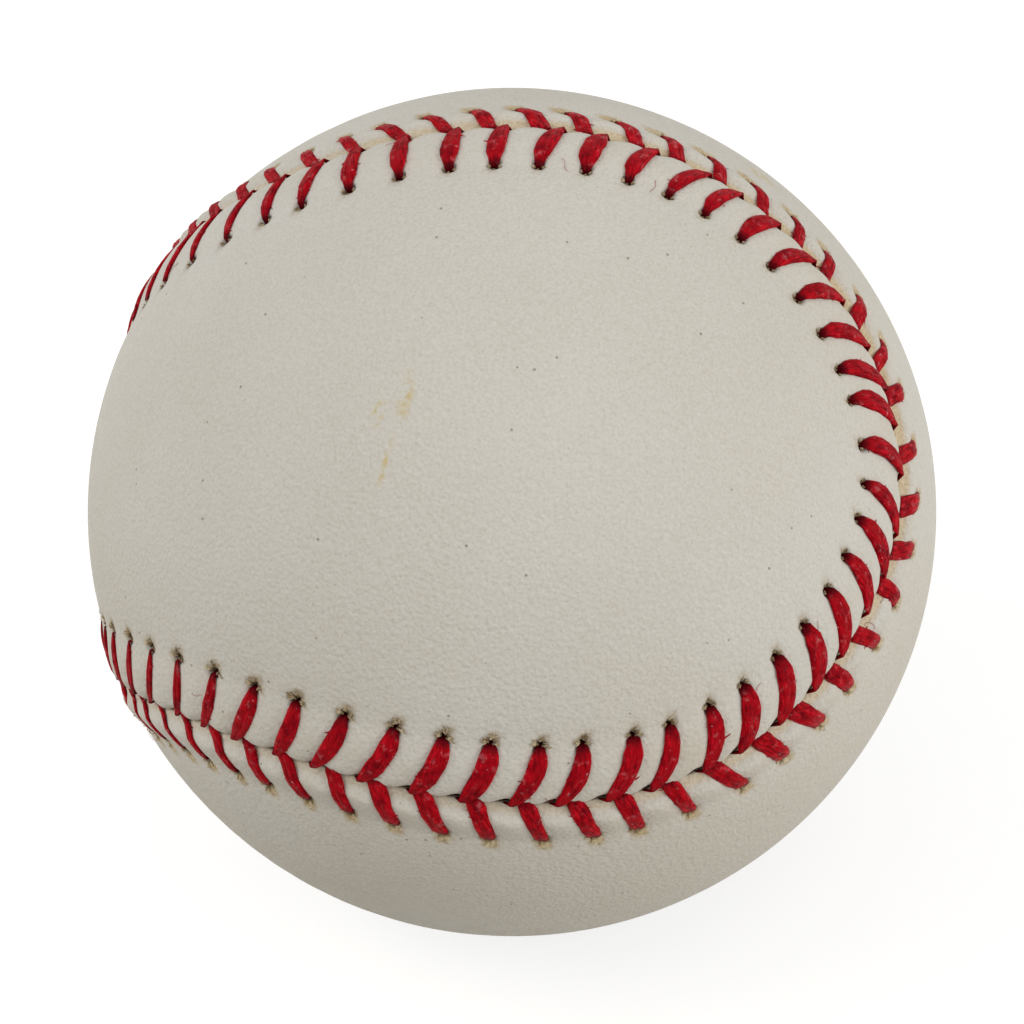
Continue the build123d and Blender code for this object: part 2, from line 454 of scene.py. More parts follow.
def leg_width(way, side, share):
    """Width of a leg from its hole to the seam: full in the middle, with a slim tail on panel one."""
    full = near_share(share, *full_stretch)
    blunt = 1 - pointed_legs(share)
    if side < 0:
        widths = (0.72 + 0.2 * full, 0.94 + 0.22 * full, 1.28 + 0.08 * full, 1.47, 1.45, 1.21, 0.86, 0.55)
    else:
        widths = (0.6 + 0.45 * blunt, 0.88 + 0.28 * blunt, 1.25, 1.36, 1.34, 1.2)
    return np.interp(way, width_ways[side], widths) * mm


def thread_pull(share):
    """How plump the legs are: plump on one stretch, and slim where the thread was pulled tight."""
    plump = 0.8 + 0.37 * near_share(share, *plump_stretch)
    for centre, reach, more in pull_changes:
        plump += more * near_share(share, centre, reach)
    return plump


print("widest leg in mm:", round(float(leg_width(0.4, -1, 0.0) * thread_pull(0.0)) / mm, 2))

# %% [markdown]
# The route is worked out stitch by stitch as a line of points, each with a width and with how deep it is
# tucked away, which the thread's finish uses to paint shade on the tucked ends.

# %% Strand routes
leg_ways = (0.0, 0.1, 0.22, 0.36, 0.5, 0.64, 0.78, 0.9, 0.98)
leg_rise = 0.13 * mm
thread_exit = {-1: 5.15 * mm, 1: 3.85 * mm}
leg_root = {-1: 0.0, 1: 0.35 * mm}
leg_tail = {-1: 0.45 * mm, 1: 0.12 * mm}
dive_width = {-1: 0.3 * mm, 1: 0.75 * mm}
under_depth = -1.65 * mm
under_width = 0.9 * mm
hole_depth = -0.6 * mm
hole_width = 0.7 * mm
dive_depth = -0.3 * mm
gap_depth = -1.3 * mm
gap_width = 0.75 * mm


def leg_rows(stitch, side, hole, plump, rng):
    """Rows of one leg, from its hole over the roll to the seam."""
    rows = []
    for way in leg_ways:
        offset = thread_exit[side] * (1 - way) - leg_root[side] * way
        share = stitch_share(stitch, side, leg_forward(stitch, offset, side))
        top = leather_height(np.array([share]), np.array([max(offset, 0.6 * mm)]), side)[0]
        top = max(top, -0.12 * mm) + leg_rise
        # painted shade: one where the leg goes into its hole or into the seam, which the finish darkens
        tuck_shade = max(0.0, 0.8 - way / 0.1) + max(0.0, (way - 0.9) / 0.16)
        width = plump * rng.normal(1, 0.04) * leg_width(way, side, hole)
        rows.append((share, side * offset, top, width, min(tuck_shade, 1.0)))
    return rows


def strand_route(first_side, rng):
    """Rows of share, sideways, height, width and tuck along one strand; the tuck is painted shade on tucked
    ends.
    """
    rows = []
    for stitch in range(stitch_count):
        side = first_side if stitch % 2 == 0 else -first_side
        hole = stitch_share(stitch, side, hole_jog[side][stitch])
        plump = rng.normal(1, 0.07) * thread_pull(hole)
        rows.append((hole, side * thread_exit[side], under_depth, under_width, 1.0))
        rows.append((hole, side * (thread_exit[side] + 0.05 * mm), hole_depth, hole_width, 1.0))
        rows += leg_rows(stitch, side, hole, plump, rng)
        forward = slant_at(stitch, side) + leg_lean[side][stitch] + leg_tail[side]
        share = stitch_share(stitch, side, forward)
        rows.append((share, -side * (0.16 * mm + leg_root[side]), dive_depth, dive_width[side], 1.0))
        rows.append((share, -side * 0.2 * mm, gap_depth, gap_width, 1.0))
        rows.append((share, -side * 0.9 * mm, under_depth, under_width, 1.0))
    return np.array(rows)


routes = {
    "thread_one": strand_route(-1, np.random.default_rng(5)),
    "thread_two": strand_route(1, np.random.default_rng(6))}
for strand, rows in routes.items():
    steps = np.diff(beside_seam(rows[:, 0], rows[:, 1], rows[:, 2]), axis=0)
    walked = np.linalg.norm(steps, axis=1).sum()
    print(strand, len(rows), "points,", round(walked, 2), "m of thread")

# %% [markdown]
# ## Plies by Geometry Nodes
# Up close each leg shows two flat plies with a faint line between them. The route gives each ply a line of
# points with a radius and a direction that its flat side faces. A node tree turns such a line into a tube:
# Mesh to Curve, then Curve to Mesh with a flattened circle for a profile. The tree also stores how far
# along and round the tube each point is, so that the material can lay fibres along the thread.

# %% Node helpers
def new_tree(name, inputs):
    """A geometry node tree with a geometry input and output and the named inputs between them."""
    tree = bpy.data.node_groups.new(name, "GeometryNodeTree")
    tree.interface.new_socket("Geometry", in_out="INPUT", socket_type="NodeSocketGeometry")
    for label, kind, value in inputs:
        socket = tree.interface.new_socket(label, in_out="INPUT", socket_type=kind)
        if value is not None:
            socket.default_value = value
    tree.interface.new_socket("Geometry", in_out="OUTPUT", socket_type="NodeSocketGeometry")
    return tree, tree.nodes.new("NodeGroupInput"), tree.nodes.new("NodeGroupOutput")


def add(tree, kind, links=None, values=None, **settings):
    """A node with its settings, its fixed values and its links from other nodes' outputs."""
    node = tree.nodes.new(kind)
    for key, value in settings.items():
        setattr(node, key, value)
    for key, value in (values or {}).items():
        node.inputs[key].default_value = value
    for key, source in (links or {}).items():
        tree.links.new(source, node.inputs[key])
    return node


def stored(tree, name, data_type="FLOAT"):
    """The output of a node that reads a value stored on the points."""
    node = add(tree, "GeometryNodeInputNamedAttribute", values={"Name": name}, data_type=data_type)
    return node.outputs["Attribute"]


def end_tree(tree, geometry, material, output):
    """Realize Instances and Set Material, which close every tree."""
    real = add(tree, "GeometryNodeRealizeInstances", {"Geometry": geometry})
    paint = add(tree, "GeometryNodeSetMaterial",
                {"Geometry": real.outputs["Geometry"], "Material": material})
    tree.links.new(paint.outputs["Geometry"], output.inputs["Geometry"])


def run_tree(piece, tree, values):
    """The tree's result on a piece, kept as a plain mesh."""
    modifier = piece.modifiers.new(tree.name, "NODES")
    modifier.node_group = tree
    for item in tree.interface.items_tree:
        if item.in_out == "INPUT" and item.name in values:
            modifier[item.identifier] = values[item.name]
    graph = bpy.context.evaluated_depsgraph_get()
    shaped = piece.evaluated_get(graph)
    mesh = bpy.data.meshes.new_from_object(shaped, preserve_all_data_layers=True, depsgraph=graph)
    piece.modifiers.clear()
    piece.data = mesh
    mesh.name = piece.name
    print(piece.name, len(mesh.vertices), "points", len(mesh.polygons), "faces")


print("helpers for node trees are ready")

# %% [markdown]
# The tree for a ply takes the number of sides of its profile, how flat it is, and its material. The flat
# side has to lie on the leather, so the curve's normal is set from the stored direction and not left to
# Blender, which would let the ply roll over in the tight bends.

# %% Node tree for a ply
def ply_tree():
    """A flat tube along every line of points."""
    tree, start, end = new_tree("Thread ply", (
        ("Sides", "NodeSocketInt", 8), ("Flatness", "NodeSocketFloat", 0.6),
        ("Material", "NodeSocketMaterial", None)))
    line = add(tree, "GeometryNodeMeshToCurve", {"Mesh": start.outputs["Geometry"]})
    flat_side = stored(tree, "ply_facing", "FLOAT_VECTOR")
    facing = add(tree, "GeometryNodeSetCurveNormal",
                 {"Curve": line.outputs["Curve"], "Normal": flat_side}, mode="FREE")
    way = add(tree, "GeometryNodeSplineParameter")
    walked = add(tree, "GeometryNodeStoreNamedAttribute",
                 {"Geometry": facing.outputs["Curve"], "Value": way.outputs["Length"]},
                 {"Name": "thread_way"})
    circle = add(tree, "GeometryNodeCurvePrimitiveCircle",
                 {"Resolution": start.outputs["Sides"]}, {"Radius": 1.0})
    squash = add(tree, "ShaderNodeCombineXYZ", {"X": start.outputs["Flatness"]}, {"Y": 1.0, "Z": 1.0})
    flat = add(tree, "GeometryNodeTransform",
               {"Geometry": circle.outputs["Curve"], "Scale": squash.outputs["Vector"]})
    around = add(tree, "GeometryNodeSplineParameter")
    profile = add(tree, "GeometryNodeStoreNamedAttribute",
                  {"Geometry": flat.outputs["Geometry"], "Value": around.outputs["Factor"]},
                  {"Name": "thread_round"})
    tube = add(tree, "GeometryNodeCurveToMesh",
               {"Curve": walked.outputs["Geometry"], "Profile Curve": profile.outputs["Geometry"],
                "Scale": stored(tree, "ply_radius")}, {"Fill Caps": True})
    smooth = add(tree, "GeometryNodeSetShadeSmooth", {"Geometry": tube.outputs["Mesh"]})
    end_tree(tree, smooth.outputs["Geometry"], start.outputs["Material"], end)
    return tree


thread_tree = ply_tree()
print("ply tree:", len(thread_tree.nodes), "nodes")

# %% [markdown]
# A modifier on the line runs the tree. Its inputs are set by their identifiers before the first look, and
# the result is kept as a plain mesh, so the finished thread needs no modifier.

# %% Thread strands
ply_twist = 0.22
twist_length = 2.1 * mm
ply_apart = 0.18
ply_share = 0.34


def line_piece(name, points, edges, values):
    """A piece made of points and edges only, with values stored on its points."""
    mesh = bpy.data.meshes.new(name + "_line")
    mesh.from_pydata(np.asarray(points).tolist(), edges, [])
    for label, value in values.items():
        value = np.asarray(value, np.float32)
        kind, field = ("FLOAT_VECTOR", "vector") if value.ndim == 2 else ("FLOAT", "value")
        mesh.attributes.new(label, kind, "POINT").data.foreach_set(field, value.reshape(-1))
    piece = bpy.data.objects.new(name, mesh)
    bpy.context.scene.collection.objects.link(piece)
    return piece


def make_strand(name, material):
    """Both plies of a strand, side by side and gently twisted."""
    share, sideways, height, widths, tuck_shade = routes[name].T
    points = beside_seam(share, sideways, height)
    way = np.gradient(points, axis=0)
    way /= np.linalg.norm(way, axis=1, keepdims=True)
    facing = np.cross(seam_frame(share)[1], way)
    facing /= np.linalg.norm(facing, axis=1, keepdims=True)
    beside = np.cross(way, facing)
    steps = np.concatenate([[0], np.cumsum(np.linalg.norm(np.diff(points, axis=0), axis=1))])
    twist = ply_twist * np.sin(steps / twist_length)
    shift = beside * np.cos(twist)[:, None] + facing * np.sin(twist)[:, None]
    shift *= widths[:, None] * ply_apart
    count = len(points)
    edges = [(first + k, first + k + 1) for first in (0, count) for k in range(count - 1)]
    strand = line_piece(name, np.concatenate([points + shift, points - shift]), edges, {
        "ply_facing": np.concatenate([facing, facing]),
        "ply_radius": np.tile(widths * ply_share, 2),
        # painted shade for the tucked ends
        "thread_tuck": np.tile(tuck_shade, 2)})
    run_tree(strand, thread_tree, {"Sides": 8, "Flatness": 0.62, "Material": material})
    return strand


crimson_thread = bpy.data.materials.new("crimson waxed thread")
thread_one = make_strand("thread_one", crimson_thread)
thread_two = make_strand("thread_two", crimson_thread)

# %% [markdown]
# ## Frayed leather at the holes
# The needle tears the leather, so short fibres stand out of each hole, behind the thread and on both sides
# of it. One small tuft of bent spikes is modelled, and a node tree puts several turned and scaled copies at
# every hole. A particle system could do the same, but the tree gives a plain mesh that any program reads.

# %% One tuft
spike_levels = ((0.0, 0.085), (0.55, 0.065))


def tuft_mesh(name, spikes, rng):
    """Bent three-sided spikes that spread round +Z and lean to +Y."""
    points, faces = [], []
    for spike in range(spikes):
        turn = rng.uniform(0, 2 * math.pi)
        lean = Vector((math.cos(turn) * 0.45, math.sin(turn) * 0.35 + rng.uniform(0.1, 0.9), 1))
        lean.normalize()
        length = rng.uniform(0.45, 1.0)
        root = Vector((rng.uniform(-0.32, 0.32), rng.uniform(-0.1, 0.25), -0.25))
        sag = Vector((rng.uniform(-0.25, 0.25), rng.uniform(0.0, 0.35), -0.12))
        side = lean.orthogonal().normalized()
        other = lean.cross(side)
        first = len(points)
        for level, wide in spike_levels:
            middle = root + lean * length * level + sag * level * level
            for corner in range(3):
                angle = 2 * math.pi * corner / 3
                points.append(middle + (side * math.cos(angle) + other * math.sin(angle)) * wide)
        points.append(root + lean * length + sag)
        faces.append((first + 2, first + 1, first))
        for corner in range(3):
            after = (corner + 1) % 3
            faces.append((first + corner, first + after, first + 3 + after, first + 3 + corner))
            faces.append((first + 3 + corner, first + 3 + after, first + 6))
    mesh = bpy.data.meshes.new(name)
    mesh.from_pydata([tuple(point * mm) for point in points], [], faces)
    levels = [level for level, wide in spike_levels for corner in range(3)]
    level_of = np.tile(np.array(levels + [1], np.float32), spikes)
    mesh.attributes.new("spike_way", "FLOAT", "POINT").data.foreach_set("value", level_of)
    return bpy.data.objects.new(name, mesh)


tuft = tuft_mesh("tuft_pattern", 6, np.random.default_rng(3))
wisp = tuft_mesh("wisp_pattern", 3, np.random.default_rng(4))
print("tuft:", len(tuft.data.polygons), "faces, wisp:", len(wisp.data.polygons), "faces")

# %% [markdown]
# The tree for the tufts first makes several copies of each point. Then it stands one tuft on every copy,
# turned by a random angle on each axis and of a random size, both from the seed. The place also says which
# way is up, which way leads away from the hole, and how badly the leather is torn there.

# %% Node tree for the tufts
def tuft_tree():
    """Turned and scaled copies of a tuft at every point."""
    tree, start, end = new_tree("Frayed holes", (
        ("Tuft", "NodeSocketObject", None), ("Tufts per place", "NodeSocketInt", 3),
        ("Spread", "NodeSocketFloat", 0.4), ("Smallest", "NodeSocketFloat", 0.6),
        ("Largest", "NodeSocketFloat", 1.2), ("Seed", "NodeSocketInt", 1),
        ("Material", "NodeSocketMaterial", None)))
    amount = start.outputs["Tufts per place"]
    copies = add(tree, "GeometryNodeDuplicateElements",
                 {"Geometry": start.outputs["Geometry"], "Amount": amount}, domain="POINT")
    number = add(tree, "GeometryNodeInputIndex").outputs["Index"]
    spread = add(tree, "ShaderNodeMath", {0: start.outputs["Spread"]}, {1: -1.0}, operation="MULTIPLY")
    low = add(tree, "ShaderNodeCombineXYZ", {axis: spread.outputs[0] for axis in "XYZ"})
    high = add(tree, "ShaderNodeCombineXYZ", {axis: start.outputs["Spread"] for axis in "XYZ"})
    turn = add(tree, "FunctionNodeRandomValue",
               {0: low.outputs[0], 1: high.outputs[0], "ID": number, "Seed": start.outputs["Seed"]},
               data_type="FLOAT_VECTOR")
    size = add(tree, "FunctionNodeRandomValue",
               {2: start.outputs["Smallest"], 3: start.outputs["Largest"], "ID": number,
                "Seed": start.outputs["Seed"]}, data_type="FLOAT")
    size = add(tree, "ShaderNodeMath",
               {0: size.outputs[1], 1: stored(tree, "tuft_size")}, operation="MULTIPLY")
    stand = add(tree, "FunctionNodeAxesToRotation",
                {"Primary Axis": stored(tree, "tuft_up", "FLOAT_VECTOR"),
                 "Secondary Axis": stored(tree, "tuft_away", "FLOAT_VECTOR")},
                primary_axis="Z", secondary_axis="Y")
    tilt = add(tree, "FunctionNodeEulerToRotation", {"Euler": turn.outputs[0]})
    place = add(tree, "FunctionNodeRotateRotation",
                {"Rotation": stand.outputs["Rotation"], "Rotate By": tilt.outputs["Rotation"]},
                rotation_space="LOCAL")
    shape = add(tree, "GeometryNodeObjectInfo", {"Object": start.outputs["Tuft"]})
    tufts = add(tree, "GeometryNodeInstanceOnPoints",
                {"Points": copies.outputs["Geometry"], "Instance": shape.outputs["Geometry"],
                 "Rotation": place.outputs["Rotation"], "Scale": size.outputs[0]})
    end_tree(tree, tufts.outputs["Instances"], start.outputs["Material"], end)
    return tree


fray_tree = tuft_tree()
print("tuft tree:", len(fray_tree.nodes), "nodes")

# %% [markdown]
# Three places at each hole carry tufts: one behind the thread and one on each side of it. Panel one's
# leather is torn to long grey fibres, and panel two's to short tan ones.

# %% Tufts on both panels
tuft_beside = 0.34 * mm
tuft_depth = 0.12 * mm


def make_tufts(name, side, material, values):
    """Tufts behind and beside the thread at every hole of one panel."""
    number = np.repeat(np.arange(stitch_count), 3)
    lean = np.tile([-1.0, 0.0, 1.0], stitch_count)
    share = stitch_share(number, side, hole_jog[side][number] + tuft_beside * lean)
    sideways = side * (hole_offset[side] + np.where(lean == 0, 0.6, 0.2) * mm)
    places = beside_seam(share, sideways, np.full(len(share), -tuft_depth))
    up = places / np.linalg.norm(places, axis=1, keepdims=True)
    along = seam_frame(share)[1]
    away = side * np.cross(up, along) * np.where(lean == 0, 1.0, 0.5)[:, None] + along * lean[:, None]
    torn = torn_amount(share) if side < 0 else np.ones(len(share))
    tufts = line_piece(name, places, [], {"tuft_up": up + 0.3 * away, "tuft_away": away, "tuft_size": torn})
    run_tree(tufts, fray_tree, dict(values, Tuft=tuft, Material=material))
    return tufts


grey_fray = bpy.data.materials.new("grey frayed leather")
tan_fray = bpy.data.materials.new("tan frayed leather")
fray_one = make_tufts("frayed_holes_one", -1, grey_fray, {
    "Tufts per place": 5, "Spread": 0.4, "Smallest": 0.6, "Largest": 1.25, "Seed": 2})
fray_two = make_tufts("frayed_holes_two", 1, tan_fray, {
    "Tufts per place": 3, "Spread": 0.5, "Smallest": 0.4, "Largest": 0.9, "Seed": 9})

# %% [markdown]
# ## Wisps on the thread
# Thread is spun from short fibres, and some of them stand off its edges. The same tree sets small wisps of
# three fibres along both edges of every leg, lying almost flat on the leather.

# %% Thread wisps
wisp_reach = 0.42


def make_wisps(name, material, per_leg, rng):
    """Small wisps at random places along both edges of the legs."""
    places, up, away = [], [], []
    for side in (-1, 1):
        for stitch in np.repeat(np.arange(stitch_count), per_leg):
            way = rng.uniform(0.08, 0.9)
            offset = thread_exit[side] * (1 - way)
            edge = rng.choice((-1, 1))
            hole = stitch_share(stitch, side)
            width = leg_width(way, side, hole) * thread_pull(hole)
            forward = leg_forward(stitch, offset, side) + edge * wisp_reach * width
            share = np.array([stitch_share(stitch, side, forward)])
            height = leather_height(share, np.array([offset]), side) + leg_rise
            place = beside_seam(share, np.array([side * offset]), height)[0]
            outward = place / np.linalg.norm(place)
            sweep = edge * seam_frame(share)[1][0] - side * rng.normal(0, 0.7) * seam_frame(share)[2][0]
            places.append(place)
            up.append(sweep + 0.3 * outward)
            away.append(outward)
    wisps = line_piece(name, places, [], {
        "tuft_up": up, "tuft_away": -np.array(away), "tuft_size": np.ones(len(places))})
    run_tree(wisps, fray_tree, {
        "Tuft": wisp, "Tufts per place": 1, "Spread": 0.4, "Smallest": 0.3, "Largest": 0.75,
        "Seed": 5, "Material": material})
    return wisps


red_wisps = make_wisps("thread_wisps", crimson_thread, 4, np.random.default_rng(8))

# %% [markdown]
# ## Loose red fibres
# A few hair-thin fibres have worked loose from the thread and cling to the leather. The thread's own tree
# makes them too, from short wavering lines that lie just over the surface.

# %% Red fibres
fibre_step = 0.22 * mm
fibre_radius = 0.016 * mm


def make_fibres(name, material, count, rng):
    """Wavering lines of points just over the leather, made into hair-thin tubes."""
    points, edges, facing = [], [], []
    for fibre in range(count):
        side = rng.choice((-1, 1))
        share = stitch_share(rng.uniform(0, stitch_count), side)
        offset = rng.uniform(0.8, 5.5) * mm
        heading = rng.uniform(0, 2 * math.pi)
        curl = rng.normal(0, 0.5)
        first = len(points)
        for step in range(rng.integers(5, 11)):
            here = np.array([share])
            height = leather_height(here, np.array([offset]), side) + rng.uniform(0.03, 0.1) * mm
            points.append(beside_seam(here, np.array([side * offset]), height)[0])
            facing.append(seam_frame(here)[0][0])
            if len(points) > first + 1:
                edges.append((len(points) - 2, len(points) - 1))
            heading += curl * 0.4 + rng.normal(0, 0.35)
            share += fibre_step * math.cos(heading) / seam_length
            offset = max(0.7 * mm, offset + fibre_step * math.sin(heading))
    fibres = line_piece(name, points, edges, {
        "ply_facing": facing, "ply_radius": np.full(len(points), fibre_radius),
        "thread_tuck": np.zeros(len(points))})
    run_tree(fibres, thread_tree, {"Sides": 4, "Flatness": 1.0, "Material": material})
    return fibres


red_fibres = make_fibres("loose_red_fibres", crimson_thread, 44, np.random.default_rng(21))

# %% [markdown]
# ## Finishes as nodes
# Each finish is a small shader tree. These helpers keep the trees short: a colour written as the eye sees
# it, a texture on Object coordinates, a ramp of colours, and a mix of two colours. Object coordinates are
# metres here, so a noise scale of 1000 means patches about one millimetre across.

# %% Shader helpers
def tone(red, green, blue):
    """A colour given as 0 to 255, as it should look on the screen, in the linear form that nodes use."""
    linear = []
    for part in (red / 255, green / 255, blue / 255):
        linear.append(part / 12.92 if part <= 0.04045 else ((part + 0.055) / 1.055) ** 2.4)
    return (*linear, 1.0)


def new_finish(material, roughness, specular):
    """An emptied material tree with a Principled shader, and the object's coordinates."""
    material.use_nodes = True
    tree = material.node_tree
    tree.nodes.clear()
    shader = add(tree, "ShaderNodeBsdfPrincipled",
                 values={"Roughness": roughness, "Specular IOR Level": specular})
    add(tree, "ShaderNodeOutputMaterial", {"Surface": shader.outputs["BSDF"]})
    return tree, shader, add(tree, "ShaderNodeTexCoord").outputs["Object"]


def noise(tree, vector, scale, detail=3.0, roughness=0.5):
    """Soft patches: a larger scale gives smaller ones."""
    node = add(tree, "ShaderNodeTexNoise", {"Vector": vector},
               {"Scale": scale, "Detail": detail, "Roughness": roughness})
    return node.outputs["Fac"]


def cells(tree, vector, scale, feature="F1"):
    """Rounded cells with a distance from their middles and a colour each."""
    return add(tree, "ShaderNodeTexVoronoi", {"Vector": vector}, {"Scale": scale}, feature=feature)


def ramp(tree, source, stops):
    """Colours along a value: each stop is a place and a colour."""
    node = add(tree, "ShaderNodeValToRGB", {"Fac": source})
    marks = node.color_ramp.elements
    while len(marks) < len(stops):
        marks.new(0.5)
    for mark, (place, colour) in zip(marks, stops):
        mark.position = place
        mark.color = colour
    return node.outputs["Color"]


def feed(tree, sockets, sources):
    """Link or set each socket, as its source is another node's output or a fixed value."""
    for socket, source in zip(sockets, sources):
        if isinstance(source, bpy.types.NodeSocket):
            tree.links.new(source, socket)
        else:
            socket.default_value = source


def blend(tree, share, first, second, way="MIX"):
    """A mix of two colours, each a fixed colour or another node's output."""
    node = add(tree, "ShaderNodeMix", data_type="RGBA", blend_type=way)
    feed(tree, (node.inputs[0], node.inputs[6], node.inputs[7]), (share, first, second))
    return node.outputs[2]


def sums(tree, operation, first, second):
    """A Math node between two outputs, or an output and a number."""
    node = add(tree, "ShaderNodeMath", operation=operation)
    feed(tree, node.inputs, (first, second))
    return node.outputs[0]


def lay_over(tree, colour, amount, strength, top):
    """A colour laid over another where the amount is high, at a strength."""
    return blend(tree, sums(tree, "MULTIPLY", amount, strength), colour, top)


def grown(tree, value, low, high):
    """A value stretched so that low becomes 0 and high becomes 1."""
    node = add(tree, "ShaderNodeMapRange", {"Value": value}, {"From Min": low, "From Max": high})
    return node.outputs["Result"]


def painted(tree, name):
    """A value that the mesh carries on its points."""
    return add(tree, "ShaderNodeAttribute", attribute_name=name).outputs["Fac"]


def bumped(tree, shader, height, strength, distance):
    """Small relief on a shader."""
    bump = add(tree, "ShaderNodeBump", {"Height": height}, {"Strength": strength, "Distance": distance})
    tree.links.new(bump.outputs["Normal"], shader.inputs["Normal"])


print("white leather as nodes see it:", [round(part, 3) for part in tone(205, 201, 192)[:3]])

# %% [markdown]
# ## White leather
# Tanned cowhide is a warm white, a little darker in soft clouds, with a fine pebbled grain and a few dark
# pores. A picture of leather could be wrapped on it, but a picture repeats and stretches, and nodes stay
# sharp at any distance. A few stains have their own places on the ball, set with Mapping nodes: each has a
# centre and a reach in millimetres, a tilt in degrees and a strength.

# %% Skin of the leather
stains = (
    ((-2.4, -24.6, 27.7), (0.75, 2.3, 1.5), 6, 0.9),
    ((-4.3, -25.5, 26.7), (0.6, 1.3, 1.5), 20, 1.0),
    ((-3.6, -28.2, 23.9), (0.32, 2.8, 1.5), 14, 0.7),
    ((21.5, 8.9, 28.9), (2.2, 1.1, 1.4), 32, 0.8))
stain_slope = math.radians(47)


def stain(tree, place, centre, reach, tilt):
    """One where a stain lies: a tilted streak with a ragged outline."""
    laid = add(tree, "ShaderNodeMapping", {"Vector": place},
               {"Location": tuple(part * mm for part in centre), "Rotation": (stain_slope, 0, 0)},
               vector_type="TEXTURE")
    spot = add(tree, "ShaderNodeMapping", {"Vector": laid.outputs["Vector"]},
               {"Rotation": (0, 0, math.radians(-tilt)), "Scale": tuple(part * mm for part in reach)},
               vector_type="TEXTURE")
    length = add(tree, "ShaderNodeVectorMath", {0: spot.outputs["Vector"]}, operation="LENGTH")
    near = grown(tree, length.outputs["Value"], 1.0, 0.2)
    return sums(tree, "MULTIPLY", near, grown(tree, noise(tree, place, 1100.0, 4.0, 0.65), 0.42, 0.58))


def skin_colour(tree, place, fine):
    """Clouds, fine specks, traces of dye, wear on the roll, stains and pores."""
    colour = ramp(tree, noise(tree, place, 48.0, 4.0, 0.5), [
        (0.3, tone(202, 197, 186)), (0.5, tone(205, 200, 190)), (0.72, tone(207, 204, 196))])
    specks = ramp(tree, fine, [
        (0.3, tone(160, 157, 153)), (0.5, tone(188, 188, 188)), (0.7, tone(207, 207, 207))])
    colour = blend(tree, 0.35, colour, specks, "OVERLAY")
    smudge = grown(tree, noise(tree, place, 260.0, 3.0, 0.65), 0.5, 0.75)
    dye = sums(tree, "MULTIPLY", painted(tree, "red_dye"), smudge)
    colour = lay_over(tree, colour, dye, 0.32, tone(196, 140, 132))
    rubbed = grown(tree, noise(tree, place, 190.0, 3.0, 0.6), 0.45, 0.7)
    worn = sums(tree, "MULTIPLY", painted(tree, "roll"), rubbed)
    colour = lay_over(tree, colour, worn, 0.3, tone(189, 178, 152))
    for centre, reach, tilt, strength in stains:
        patch = stain(tree, place, centre, reach, tilt)
        colour = lay_over(tree, colour, patch, strength, tone(196, 172, 98))
    pores = cells(tree, place, 700.0)
    few = add(tree, "ShaderNodeSeparateColor", {"Color": pores.outputs["Color"]}).outputs["Red"]
    dots = grown(tree, pores.outputs["Distance"], 0.1, 0.06)
    dots = sums(tree, "MULTIPLY", dots, sums(tree, "GREATER_THAN", few, 0.8))
    return lay_over(tree, colour, dots, 0.6, tone(98, 86, 74))


print("stains on the leather:", len(stains))

# %% [markdown]
# The painted values then add what the knife and the needle did, a tan raw edge and brown and pale torn
# rims, and painted shade: near black in the holes and a dark line along the seam. Bump gives the pebbled
# grain, which is too fine to model.

# %% Leather finish
def cut_colour(tree, place, fine, colour):
    """Raw edges and torn rims, with painted shade in the holes and along the seam, over the skin's colour.
    """
    raw = ramp(tree, fine, [(0.3, tone(186, 164, 128)), (0.7, tone(216, 199, 167))])
    colour = blend(tree, painted(tree, "raw_edge"), colour, raw)
    ragged = grown(tree, noise(tree, place, 2300.0, 3.0, 0.6), 0.3, 0.52)
    torn = sums(tree, "MULTIPLY", painted(tree, "torn_rim"), ragged)
    torn_tone = ramp(tree, fine, [(0.3, tone(112, 90, 62)), (0.7, tone(186, 164, 128))])
    colour = lay_over(tree, colour, torn, 0.9, torn_tone)
    pale = sums(tree, "MULTIPLY", painted(tree, "pale_rim"), grown(tree, ragged, -0.6, 0.6))
    pale_tone = ramp(tree, fine, [(0.3, tone(172, 146, 102)), (0.7, tone(214, 197, 162))])
    colour = lay_over(tree, colour, pale, 0.9, pale_tone)
    # painted shade: near black in the needle holes
    colour = blend(tree, painted(tree, "hole_dark"), colour, tone(38, 24, 20))
    # painted shade: a dark brown line along the seam
    return lay_over(tree, colour, painted(tree, "seam_dark"), 0.8, tone(84, 62, 50))


def leather_finish(material):
    """White leather with its colour, its pebbled grain and an uneven gloss."""
    tree, shader, place = new_finish(material, 0.6, 0.05)
    fine = noise(tree, place, 4200.0, 2.0, 0.6)
    colour = cut_colour(tree, place, fine, skin_colour(tree, place, fine))
    tree.links.new(colour, shader.inputs["Base Color"])
    pebble = cells(tree, place, 2700.0, "SMOOTH_F1")
    creases = sums(tree, "MULTIPLY", noise(tree, place, 4600.0, 2.0, 0.5), 0.6)
    bumped(tree, shader, sums(tree, "ADD", pebble.outputs["Distance"], creases), 0.5, 0.17 * mm)
    rough = noise(tree, place, 700.0, 3.0)
    gloss = ramp(tree, rough, [(0.25, (0.5, 0.5, 0.5, 1)), (0.75, (0.66, 0.66, 0.66, 1))])
    tree.links.new(gloss, shader.inputs["Roughness"])


white_leather = bpy.data.materials.new("white cowhide")
leather_finish(white_leather)
for panel in (panel_one, panel_two):
    panel.data.materials.append(white_leather)
print("leather nodes:", len(white_leather.node_tree.nodes))
